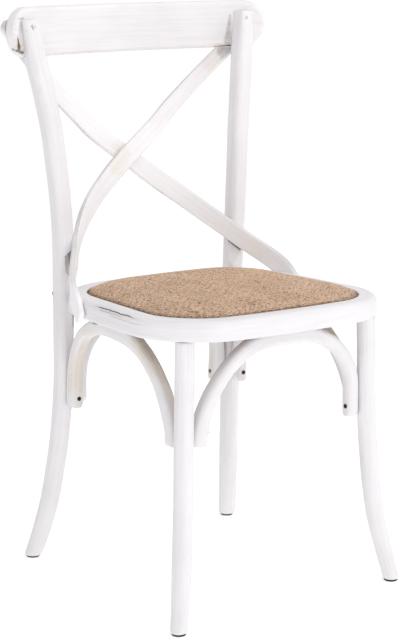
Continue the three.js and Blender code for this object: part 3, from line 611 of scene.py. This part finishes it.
def strip(name, side, off, seed):
    path = strip_path(side, off)
    L = path.length
    near = np.array([0, 0.4, 1.0, 1.8, 2.8, 4.0, 5.5, 7.5, 9.8, 12])
    S = np.concatenate([near, np.arange(15, L - 13, 3.0), L - near[::-1]])
    p, T, nrm, w = strip_frame(path, S)
    rings, flow, edge, rim = [], [], [], []
    for i, s in enumerate(S):
        d = min(s, L - s)
        q, c = (6.0, 0.6) if s < L / 2 else (12.0, 0.86)
        h = strip_half(s / L) * (math.sqrt(1 - ((q - d) / q) ** 2 * c) if d < q else 1.0)
        th = STRIP_T / 2 * (1 - 0.25 * max(0, 1 - d / 2.5) ** 2)
        pts, corner = round_rect(th, h, min(2.4, th * 0.6), 4, (2, 10))
        rings.append(p[i] + nrm[i] * pts[:, :1] + w[i] * pts[:, 1:])
        flow.append(np.stack([np.full(len(pts), s + 1500 * seed), pts[:, 0], pts[:, 1]], -1))
        edge.append(corner * 0.9)
        # painted shade along the strip's narrow edge faces, used as its dark mask
        rim.append(smooth01((np.abs(pts[:, 1]) / h - 0.93) / 0.06))
    rings, flow, edge = np.array(rings), np.array(flow), np.array(edge)
    rings += wobble(rings, 0.15, 55, 20 + seed)[..., None] * nrm[:, None, :]
    return sweep(name, rings, flow, edge, LIGHTENED_STRIP_PAINT, sharp=40.0, extra_dirt_and_shade=np.array(rim) * np.clip(0.20 + wobble(rings, 0.16, 80, 70 + seed), 0, 0.5))


# ------------------------------------------------------------------ seat ring and woven panel
def plan_outline(n):
    P = [np.array(p) for p in ((PLAN["wf"], PLAN["yf"]), (PLAN["wr"], PLAN["yr"]), (-PLAN["wr"], PLAN["yr"]), (-PLAN["wf"], PLAN["yf"]))]
    R = [PLAN["rf"], PLAN["rr"], PLAN["rr"], PLAN["rf"]]
    raw = []
    for i in range(4):
        p1 = P[i]
        d0, d2 = unit(P[i - 1] - p1), unit(P[(i + 1) % 4] - p1)
        ang = math.acos(d0 @ d2)
        t = R[i] / math.tan(ang / 2)
        a, b = p1 + d0 * t, p1 + d2 * t
        c = p1 + unit(d0 + d2) * R[i] / math.sin(ang / 2)
        a0 = math.atan2(a[1] - c[1], a[0] - c[0])
        da = (math.atan2(b[1] - c[1], b[0] - c[0]) - a0 + math.pi) % (2 * math.pi) - math.pi
        raw += [c + R[i] * np.array([math.cos(a0 + da * k / 40), math.sin(a0 + da * k / 40)]) for k in range(41)]
    raw = np.array(raw)
    raw = np.vstack([raw, raw[:1]])
    s = np.concatenate([[0], np.cumsum(np.linalg.norm(np.diff(raw, axis=0), axis=1))])
    q = np.linspace(0, s[-1], n, endpoint=False)
    x, y = np.interp(q, s, raw[:, 0]), np.interp(q, s, raw[:, 1])
    y2 = y - PLAN["bowF"] * np.maximum(0, 1 - (x / PLAN["wf"]) ** 2) * np.clip(y / PLAN["yf"], 0, 1) ** 2
    y2 = y2 + PLAN["bowR"] * np.maximum(0, 1 - (x / PLAN["wr"]) ** 2) * np.clip(y / PLAN["yr"], 0, 1) ** 2
    return np.stack([x, y2], -1)


def smooth_loop(v, k):
    """Rounds off the kinks of a closed row of points."""
    for _ in range(k):
        v = 0.25 * np.roll(v, 1, 0) + 0.5 * v + 0.25 * np.roll(v, -1, 0)
    return v


OUTLINE = smooth_loop(plan_outline(720), 60)
_d = np.roll(OUTLINE, -1, 0) - np.roll(OUTLINE, 1, 0)
INWARD = unit(np.stack([_d[:, 1], -_d[:, 0]], -1))
INWARD *= -np.sign(np.sum(INWARD[0] * OUTLINE[0]))
OUT_S = np.concatenate([[0], np.cumsum(np.linalg.norm(np.diff(np.vstack([OUTLINE, OUTLINE[:1]]), axis=0), axis=1))])


def ring_piece(name):
    poly = [(0, SEAT_BOTTOM, 5.5), (RING_W, SEAT_BOTTOM, 2.5), (RING_W, REBATE_Z, 0.6), (RING_W - REBATE, REBATE_Z, 0.4),
            (RING_W - REBATE, SEAT_TOP, 1.6), (0, SEAT_TOP, 10.5)]
    sec, corner = filleted(poly, 2.2)
    n = len(OUTLINE)
    idx = np.arange(0, n, 1)
    rings = np.stack([OUTLINE[idx, None, 0] + INWARD[idx, None, 0] * sec[None, :, 0], OUTLINE[idx, None, 1] + INWARD[idx, None, 1] * sec[None, :, 0],
                      np.broadcast_to(sec[None, :, 1], (len(idx), len(sec)))], -1)
    flow = np.stack([np.broadcast_to(OUT_S[idx][:, None], rings.shape[:2]), np.broadcast_to(sec[None, :, 0], rings.shape[:2]),
                     np.broadcast_to(sec[None, :, 1], rings.shape[:2])], -1)
    edge = np.broadcast_to(corner[None] * 0.8, rings.shape[:2]).copy()
    # the split along the left side's top edge, with two finer ones beside it
    def place(x, y):
        return OUT_S[int(np.argmin(np.hypot(OUTLINE[:, 0] - x, OUTLINE[:, 1] - y)))] * MM
    a, b = sorted((place(-208, 36), place(-214, -116)))
    near_rear = place(-208, 36) == a
    z0, z1 = (0.4498, 0.4503) if near_rear else (0.4503, 0.4498)
    cracks = [(a, b, z0, z1, 0.0011, 0.9), (lerp(a, b, 0.1), lerp(a, b, 0.75), 0.4462, 0.4470, 0.0007, 0.5), (lerp(a, b, 0.3), lerp(a, b, 1.1), 0.4432, 0.4425, 0.0006, 0.4)]
    painted = paint_material("white_paint_split", *PAINT_TONES, cracks=cracks)
    # shallow housing behind each strip's foot
    for s in (-1, 1):
        path = strip_path(s, s * CROSS_OFF)
        q = np.arange(0, 150, 1.0)
        p, T, nrm, w = strip_frame(path, q)
        near = np.where((s * rings[..., 0] > 185) & (rings[..., 1] > 20) & (rings[..., 1] < 150))
        X = rings[near]
        k = np.argmin(((X[:, None, :] - p[None]) ** 2).sum(-1), 1)
        d = X - p[k]
        a, b, c = (d * nrm[k]).sum(1), (d * w[k]).sum(1), (d * T[k]).sum(1)
        inside = (np.abs(b) < STRIP_W / 2 + 0.5) & (np.abs(c) < 1.5) & (a < STRIP_T / 2 + 0.4)
        X[inside] += nrm[k][inside] * (STRIP_T / 2 + 0.4 - a[inside])[:, None]
        rings[near] = X
    return sweep(name, rings, flow, edge, painted, loop=True, sharp=42.0)


RIM_IN = RING_W - REBATE + GAP
RIM = OUTLINE + INWARD * RIM_IN
PANEL_C = np.array([0.0, -4.0])
_ang = np.arctan2(RIM[:, 1] - PANEL_C[1], RIM[:, 0] - PANEL_C[0])
_rad = np.linalg.norm(RIM - PANEL_C, axis=1)
_o = np.argsort(_ang)
RIM_A = np.concatenate([_ang[_o] - 2 * math.pi, _ang[_o], _ang[_o] + 2 * math.pi])
RIM_R = np.tile(_rad[_o], 3)


def rim_fraction(x, y):
    dx, dy = x - PANEL_C[0], y - PANEL_C[1]
    return np.hypot(dx, dy) / np.interp(np.arctan2(dy, dx), RIM_A, RIM_R)


def dome(f):
    return SEAT_TOP - 0.4 + PANEL_DOME * (1 - np.clip(f, 0, 1) ** 5)


PITCH, RIBBON_W, RIBBON_T, WAVE = 3.4, 3.05, 0.85, 0.42
BLOCK = 18  # strands before the twill turns


def over(i, j):
    """+1 where the strand that runs across the seat lies on top: a two-by-two twill that turns every BLOCK strands."""
    k = np.where((i // BLOCK) % 2 == 0, i + j, -i - 1 + j)
    return np.where(np.mod(k, 4) < 2, 1.0, -1.0)


def woven(name, axis, seed):
    r = np.random.RandomState(seed)
    span = 260
    V, F, FL, ST, WEAVE_SHADE = [], [], [], [], []
    count = 0
    n = int(span / PITCH)
    for j in range(-n, n + 1):
        at = j * PITCH + r.uniform(-0.12, 0.12)
        i = np.arange(-n, n + 1)
        along = i * PITCH
        x, y = (along, np.full(len(i), at)) if axis == 0 else (np.full(len(i), at), along)
        f = rim_fraction(x, y + 0.0)
        inside = np.where(f < 0.992)[0]
        if len(inside) < 3:
            continue
        i, along = i[inside[0]:inside[-1] + 1], along[inside[0]:inside[-1] + 1].astype(float)
        # run each end out to the rim
        for end, step in ((0, -1), (-1, 1)):
            best = along[end]
            for k in np.arange(0.2, PITCH, 0.2):
                t = along[end] + step * k
                q = rim_fraction(np.array([t if axis == 0 else at]), np.array([at if axis == 0 else t]))[0]
                if q > 0.996:
                    break
                best = t
            along[end] = best
        side = over(i, np.full(len(i), j)) if axis == 0 else -over(np.full(len(i), j), i)
        x, y = (along, np.full(len(i), at)) if axis == 0 else (np.full(len(i), at), along)
        f = rim_fraction(x, y)
        z = dome(f) - 0.9 - 1.6 * smooth01((f - 0.965) / 0.035) + WAVE * side + r.uniform(-0.05, 0.05, len(i))
        wdt = RIBBON_W * r.uniform(0.93, 1.03)
        prof = np.array([[-wdt / 2, -0.05], [-wdt * 0.27, RIBBON_T / 2], [wdt * 0.27, RIBBON_T / 2], [wdt / 2, -0.05], [wdt * 0.3, -RIBBON_T / 2], [-wdt * 0.3, -RIBBON_T / 2]])
        g = 1.0
        c = np.stack([x, y, z], -1)
        lat = np.array([0, 1.0, 0]) if axis == 0 else np.array([1.0, 0, 0])
        # the strand leans with the dome across its width
        eps = 1.0
        slope = (dome(rim_fraction(x + lat[0] * eps, y + lat[1] * eps)) - dome(rim_fraction(x - lat[0] * eps, y - lat[1] * eps))) / (2 * eps)
        slope = np.clip(slope, -0.6, 0.6)
        pts = c[:, None, :] + lat[None, None, :] * prof[None, :, :1] + np.array([0, 0, 1.0]) * (prof[None, :, 1:] + slope[:, None, None] * prof[None, :, :1])
        m, k = len(c), len(prof)
        base = count
        a, b = np.meshgrid(np.arange(m - 1), np.arange(k), indexing="ij")
        quad = np.stack([base + a * k + b, base + a * k + (b + 1) % k, base + (a + 1) * k + (b + 1) % k, base + (a + 1) * k + b], -1).reshape(-1, 4)
        if axis == 0:
            quad = quad[:, ::-1]
        F += quad.tolist()
        caps = [list(range(base, base + k)), list(range(base + (m - 1) * k, base + m * k))[::-1]]
        F += caps if axis == 0 else [q[::-1] for q in caps]
        V.append(pts.reshape(-1, 3))
        FL.append(np.stack([np.repeat(along, k) + 900 * j, np.tile(prof[:, 0], m) + 40 * j, np.tile(prof[:, 1], m)], -1))
        ST.append(np.full(m * k, r.uniform(0, 1)))
        # painted shade for strands that pass under, for their undersides and toward the rim
        weave_shade_amount = np.clip(-side, 0, 1) * 0.55 + 0.9 * smooth01((f - 0.955) / 0.045)
        WEAVE_SHADE.append(np.clip(np.repeat(weave_shade_amount, k) + np.tile(np.where(prof[:, 1] < 0, 0.35, 0.0), m), 0, 1))
        count += m * k
    P = np.vstack(V)
    return mesh_object(name, P, F, CANE, {"flow": np.vstack(FL) * MM, "strand": np.concatenate(ST), "low": np.concatenate(WEAVE_SHADE)}, 60.0)


def panel_backing(name):
    F = np.concatenate([np.linspace(0.05, 0.9, 18), [0.94, 0.97, 0.99, 1.0]])
    idx = np.arange(0, len(RIM), 4)
    rows = [(f, dome(f) - 2.6 - 1.2 * float(smooth01(np.array((f - 0.94) / 0.06)))) for f in F]
    low = REBATE_Z + GAP
    rows += [(f, low + PANEL_DOME * 0.94 * (1 - f**5)) for f in F[::-1]]
    P = np.vstack([np.column_stack([lerp(PANEL_C[0], RIM[idx, 0], f), lerp(PANEL_C[1], RIM[idx, 1], f), np.full(len(idx), z)]) for f, z in rows])
    m = len(idx)
    faces = [[k * m + i, k * m + (i + 1) % m, (k + 1) * m + (i + 1) % m, (k + 1) * m + i] for k in range(len(rows) - 1) for i in range(m)]
    P = np.vstack([P, [*PANEL_C, dome(0) - 2.6], [*PANEL_C, low + PANEL_DOME * 0.94]])
    a, b, last = len(P) - 2, len(P) - 1, (len(rows) - 1) * m
    faces += [[a, (i + 1) % m, i] for i in range(m)] + [[b, last + i, last + (i + 1) % m] for i in range(m)]
    return mesh_object(name, P, faces, BACKING, {}, 50.0)


# ------------------------------------------------------------------ arch braces
def arch(name, points, depth, seed, rub, ends):
    path = Path(points)
    L = path.length
    near = np.array([0, 0.3, 0.8, 1.5, 2.4, 3.5, 5, 7, 9])
    S = np.concatenate([near, np.arange(11.5, L - 10, 2.8), L - near[::-1]])
    p, T = path.at(S)
    rings, flow, edge, bare = [], [], [], []
    depth = np.array(depth, float)
    for i, s in enumerate(S):
        D = unit(depth - T[i] * (depth @ T[i]))
        N = unit(np.cross(T[i], D))
        d, t = min(s, L - s), s / L
        e = math.sqrt(max(0.3, 1 - ((9 - d) / 9) ** 2 * 0.7)) if d < 9 else 1.0
        e2 = 1 - 0.14 * max(0.0, 1 - d / 2.2) ** 2
        c = math.cos(2 * math.pi * t)
        a, b = lerp(ARCH_T_SHOULDER, ARCH_T_TOP if c < 0 else ends[0 if t < 0.5 else 1], c * c) / 2 * e2, ARCH_D / 2 * e
        pts, corner = round_rect(a, b, min(8.5, a * 0.8, b * 0.8), 9, (5, 5))
        rings.append(p[i] + N * pts[:, :1] + D * pts[:, 1:])
        flow.append(np.stack([np.full(len(pts), s + 1900 * seed), pts[:, 0], pts[:, 1]], -1))
        edge.append(np.maximum(corner * 0.7, 0.8 * max(0.0, 1 - d / 5)))
        bare.append(smooth01((np.abs(pts[:, 0]) / a - 0.72) / 0.26))
    rings, flow, edge = np.array(rings), np.array(flow), np.array(edge)
    rings += unit(rings - rings.mean(1, keepdims=True)) * (wobble(rings, 0.18, 50, 40 + seed))[..., None]
    # the rubbed faces get the worn tone, and a tenth of it as a dark tint, partly grime and partly painted shade under
    # the seat ring
    bare = np.array(bare) * np.clip(0.62 + wobble(rings, 0.30, 60, 60 + seed), 0.2, 1.0) * rub
    return sweep(name, rings, flow, edge, PAINT, sharp=40.0, extra_dirt_and_shade=bare * 0.10, extra_wear=bare)


# ------------------------------------------------------------------ screws and feet
def screw(name, origin, direction, radius, material, proud=0.0, turn=0.3, cross=True):
    """Low domed head with a cross recess, and its shank; direction points into the wood."""
    o, w = np.array(origin, float), unit(np.array(direction, float))
    ref = np.array([0, 0, 1.0]) if abs(w[2]) < 0.9 else np.array([1.0, 0, 0])
    u = unit(np.cross(ref, w))
    v = np.cross(w, u)
    na, rr = 64, np.array([0.0, 0.08, 0.16, 0.24, 0.32, 0.40, 0.48, 0.54, 0.60, 0.70, 0.80, 0.88, 0.94, 0.98, 1.0])
    th = 2 * math.pi * np.arange(na) / na + turn
    V, E, Dd = [], [], []
    rings = []
    for q in rr[1:]:
        a, b = q * np.cos(th - turn), q * np.sin(th - turn)
        h = -0.9 * (1 - q * q) ** 1.0 * 0.75 - proud
        slot = smooth01((0.135 - np.minimum(np.abs(a), np.abs(b))) / 0.05) * smooth01((0.60 - q) / 0.08) if cross else np.zeros(na)
        depth = h + slot * 1.3
        rings.append((q * radius, depth, slot, np.full(na, 1.0 if 0.8 < q < 0.99 else 0.1)))
    rings.append((radius, np.full(na, 0.9), np.zeros(na), np.zeros(na)))
    rings.append((radius * 0.52, np.full(na, 1.5), np.zeros(na), np.zeros(na)))
    rings.append((radius * 0.52, np.full(na, 9.0), np.zeros(na), np.zeros(na)))
    rings.append((radius * 0.12, np.full(na, 11.0), np.zeros(na), np.zeros(na)))
    P = np.vstack([o + w * d[:, None] + r * (np.cos(th)[:, None] * u + np.sin(th)[:, None] * v) for r, d, _, _ in rings])
    # the cross recess is darkened, partly grime and partly painted shade
    dirt_and_shade = np.concatenate([s for _, _, s, _ in rings])
    edge = np.concatenate([e for _, _, _, e in rings])
    faces = [[k * na + i, k * na + (i + 1) % na, (k + 1) * na + (i + 1) % na, (k + 1) * na + i] for k in range(len(rings) - 1) for i in range(na)]
    P = np.vstack([P, o + w * (-0.675 - proud + (1.3 if cross else 0)), o + w * 11.2])
    faces += [[len(P) - 2, (i + 1) % na, i] for i in range(na)] + [[len(P) - 1, (len(rings) - 1) * na + i, (len(rings) - 1) * na + (i + 1) % na] for i in range(na)]
    dirt_and_shade, edge = np.append(dirt_and_shade, [1.0, 0.0]), np.append(edge, [0.0, 0.0])
    local = (P - o)
    flow = np.stack([local @ u, local @ v, local @ w], -1) * MM
    return mesh_object(name, P, faces, material, {"flow": flow, "edge": edge * 0.6, "wear": edge * 0.25, "dirt_and_shade": dirt_and_shade * 0.75}, 45.0)


def glide(name, x, y):
    prof = [(0.0, GLIDE_R - 1.3), (0.18, GLIDE_R - 0.8), (0.55, GLIDE_R - 0.3), (1.1, GLIDE_R), (2.3, GLIDE_R), (2.75, GLIDE_R - 0.15), (GLIDE_H, GLIDE_R - 0.5)]
    th = 2 * math.pi * np.arange(48) / 48
    rings = np.array([[(x + r * math.cos(t), y + r * math.sin(t), z) for t in th] for z, r in prof])
    return sweep(name, rings, rings * 1.0, np.zeros(rings.shape[:2]), RUBBER)


# ------------------------------------------------------------------ assembly
put(ring_piece("seat_ring_painted"), "white_paint", "seat_ring")
put(panel_backing("cane_panel_backing"), "cane", "woven_seat_panel")
put(woven("cane_strands_across", 0, 5), "cane")
put(woven("cane_strands_along", 1, 6), "cane")
put(rail("crest_rail_painted"), "white_paint", "crest_rail")
put(strip("cross_strip_front_painted", -1, -CROSS_OFF, 1), "white_paint", "cross_strip_front")
put(strip("cross_strip_back_painted", 1, CROSS_OFF, 2), "white_paint", "cross_strip_back")
put(arch("arch_brace_front_painted", [[x, FRONT_ARCH_Y, z] for x, z in FRONT_ARCH], (0, -1, 0), 1, 0.3, ARCH_T_FRONT), "white_paint", "arch_brace_front")
put(arch("arch_brace_back_painted", [[x, lerp(BACK_ARCH_Y[0], BACK_ARCH_Y[1], (z - 262) / 147), z] for x, z in BACK_ARCH], (0, 1, 0), 2, 0.6, ARCH_T_BACK), "white_paint", "arch_brace_back")
for k, (side, s) in enumerate(SIDES.items()):
    pts = [[s * lerp(SIDE_ARCH_X[0], SIDE_ARCH_X[1], (y + 132.6) / 291.4), y, z] for y, z in SIDE_ARCH]
    put(arch(f"arch_brace_{side}_painted", pts, (s, 0, 0), 3 + k, 1.0 if s < 0 else 0.7, ARCH_T_SIDE), "white_paint", f"arch_brace_{side}")
    put(leg(f"front_{side}_leg_painted", s, 1 + k), "white_paint", f"front_{side}_leg")
    put(post(f"rear_{side}_post_painted", s, 3 + k), "white_paint", f"rear_{side}_post")
    put(glide(f"front_{side}_glide_pad", s * FRONT_LEG[0][1], FRONT_LEG[0][2]), "glide", f"front_{side}_glide")
    put(glide(f"rear_{side}_glide_pad", s * REAR_POST[0][1], REAR_POST[0][2]), "glide", f"rear_{side}_glide")
    put(screw(f"arch_screw_{side}_front_head", (s * 170.5, -115.5, SCREW_Z), (0, -1, 0), 3.4, STEEL, turn=0.4 + k), "dark_steel", f"arch_screw_{side}_front")
    put(screw(f"arch_screw_{side}_rear_head", (s * 161.5, 142.9, SCREW_Z), (0, 1, 0), 3.4, STEEL, turn=1.1 + k), "dark_steel", f"arch_screw_{side}_rear")
    put(screw(f"arch_screw_front_{side}_head", (-126.4 if s < 0 else 133.4, FRONT_ARCH_Y - 2, SCREW_Z + 5.5), (s, 0, 0), 3.4, STEEL, turn=0.2 + k), "dark_steel", f"arch_screw_front_{side}")
    put(screw(f"arch_screw_back_{side}_head", (s * 123.7, 187.3, SCREW_Z - 0.8), (s, 0, 0), 3.4, STEEL, turn=0.8 + k), "dark_steel", f"arch_screw_back_{side}")
    put(screw(f"crest_screw_{side}_head", (-205, 186.6, 855) if s < 0 else (197.5, 187.4, 863), (0, 1, 0), 3.4, SCREW_PAINT, turn=0.5 + k), "painted_screw", f"crest_screw_{side}")
    path = strip_path(s, s * CROSS_OFF)
    q = np.linspace(0, path.length * 0.5, 2000)
    best = q[np.argmin(np.abs(path.at(q)[0][:, 2] - 518.5))]
    p, _, nrm, _ = strip_frame(path, np.array([best]))
    put(screw(f"strip_screw_{side}_head", p[0] + nrm[0] * (STRIP_T / 2 - 0.6), -nrm[0], 3.2, SCREW_PAINT, turn=0.9 + k), "painted_screw", f"strip_screw_{side}")
    d = np.array([s * -0.76, -0.65, 0])
    put(screw(f"ring_bolt_{side}_head", np.array([s * 165.2, 180.7, 441]) - 16.8 * d, d, 3.6, STEEL, turn=0.1 + k), "dark_steel", f"ring_bolt_{side}")
put(screw("cross_screw_head", (0, STRIP_MID[1] - CROSS_OFF - STRIP_T / 2 + 0.4, STRIP_MID[2]), (0, 1, 0), 3.0, SCREW_PAINT, turn=0.6), "painted_screw", "cross_screw")


# ------------------------------------------------------------------ floor, light, camera
def stage_floor():
    t = Tree("floor")
    place = t.n("ShaderNodeTexCoord", out="Object")
    cloud = t.noise(place, 1.5, 3.0, 0.5)
    color = t.mix(t.ramp(cloud, 0.3, 0.7), (0.945, 0.942, 0.945), (0.965, 0.962, 0.965))
    mat = t.finish(color, 0.85, None, Specular_IOR_Level=0.1, Emission_Color=(1, 1, 1, 1), Emission_Strength=0.34)
    n, r = 96, 90.0
    me = bpy.data.meshes.new("floor")
    me.from_pydata([(r * math.cos(2 * math.pi * i / n), r * math.sin(2 * math.pi * i / n), 0.0) for i in range(n)], [], [list(range(n))])
    me.materials.append(mat)
    ob = bpy.data.objects.new("floor", me)
    bpy.context.scene.collection.objects.link(ob)


stage_floor()


def area(name, place, aim, size, power, color=(1, 1, 1)):
    li = bpy.data.lights.new(name, "AREA")
    li.shape, li.size, li.energy, li.color = "DISK", size, power, color
    ob = bpy.data.objects.new(name, li)
    ob.location = place
    ob.rotation_mode = "QUATERNION"
    ob.rotation_quaternion = (Vector(aim) - Vector(place)).to_track_quat("-Z", "Y")
    bpy.context.scene.collection.objects.link(ob)


area("key", (2.5, -1.9, 2.2), (0, 0, 0.45), 1.4, 15)
area("fill", (-0.9, -2.8, 1.4), (0, 0, 0.45), 2.2, 19)
area("top", (0.2, -0.3, 2.6), (0, 0, 0.45), 2.0, 11)

world = bpy.data.worlds.new("studio")
bpy.context.scene.world = world
world.use_nodes = True
wt = world.node_tree
bg = wt.nodes["Background"]
co = wt.nodes.new("ShaderNodeTexCoord")
sep = wt.nodes.new("ShaderNodeSeparateXYZ")
mr = wt.nodes.new("ShaderNodeMapRange")
mr.interpolation_type = "SMOOTHSTEP"
wt.links.new(co.outputs["Generated"], sep.inputs[0])
wt.links.new(sep.outputs["X"], mr.inputs[0])
mr.inputs[1].default_value, mr.inputs[2].default_value = -0.9, 0.4
mr.inputs[3].default_value, mr.inputs[4].default_value = 0.63, 0.77
bg.inputs["Color"].default_value = (1.0, 0.995, 1.0, 1.0)
wt.links.new(mr.outputs[0], bg.inputs["Strength"])

sc = bpy.context.scene
sc.view_settings.view_transform = "Standard"
sc.view_settings.look = "None"
cam = bpy.data.cameras.new("camera")
cam.sensor_fit, cam.sensor_width, cam.lens = "AUTO", 36.0, 1769.38 / 640 * 36
cam.clip_start, cam.clip_end = 0.05, 150
cam_ob = bpy.data.objects.new("camera", cam)
az, el = math.radians(-35.4602), math.radians(11.1395)
cam_ob.location = Vector((-1.57778, -2.17276, 0.93718)) + Vector(SHIFT)
cam_ob.rotation_mode = "QUATERNION"
cam_ob.rotation_quaternion = Vector((-math.sin(az) * math.cos(el), math.cos(az) * math.cos(el), -math.sin(el))).to_track_quat("-Z", "Y")
sc.collection.objects.link(cam_ob)
sc.camera = cam_ob
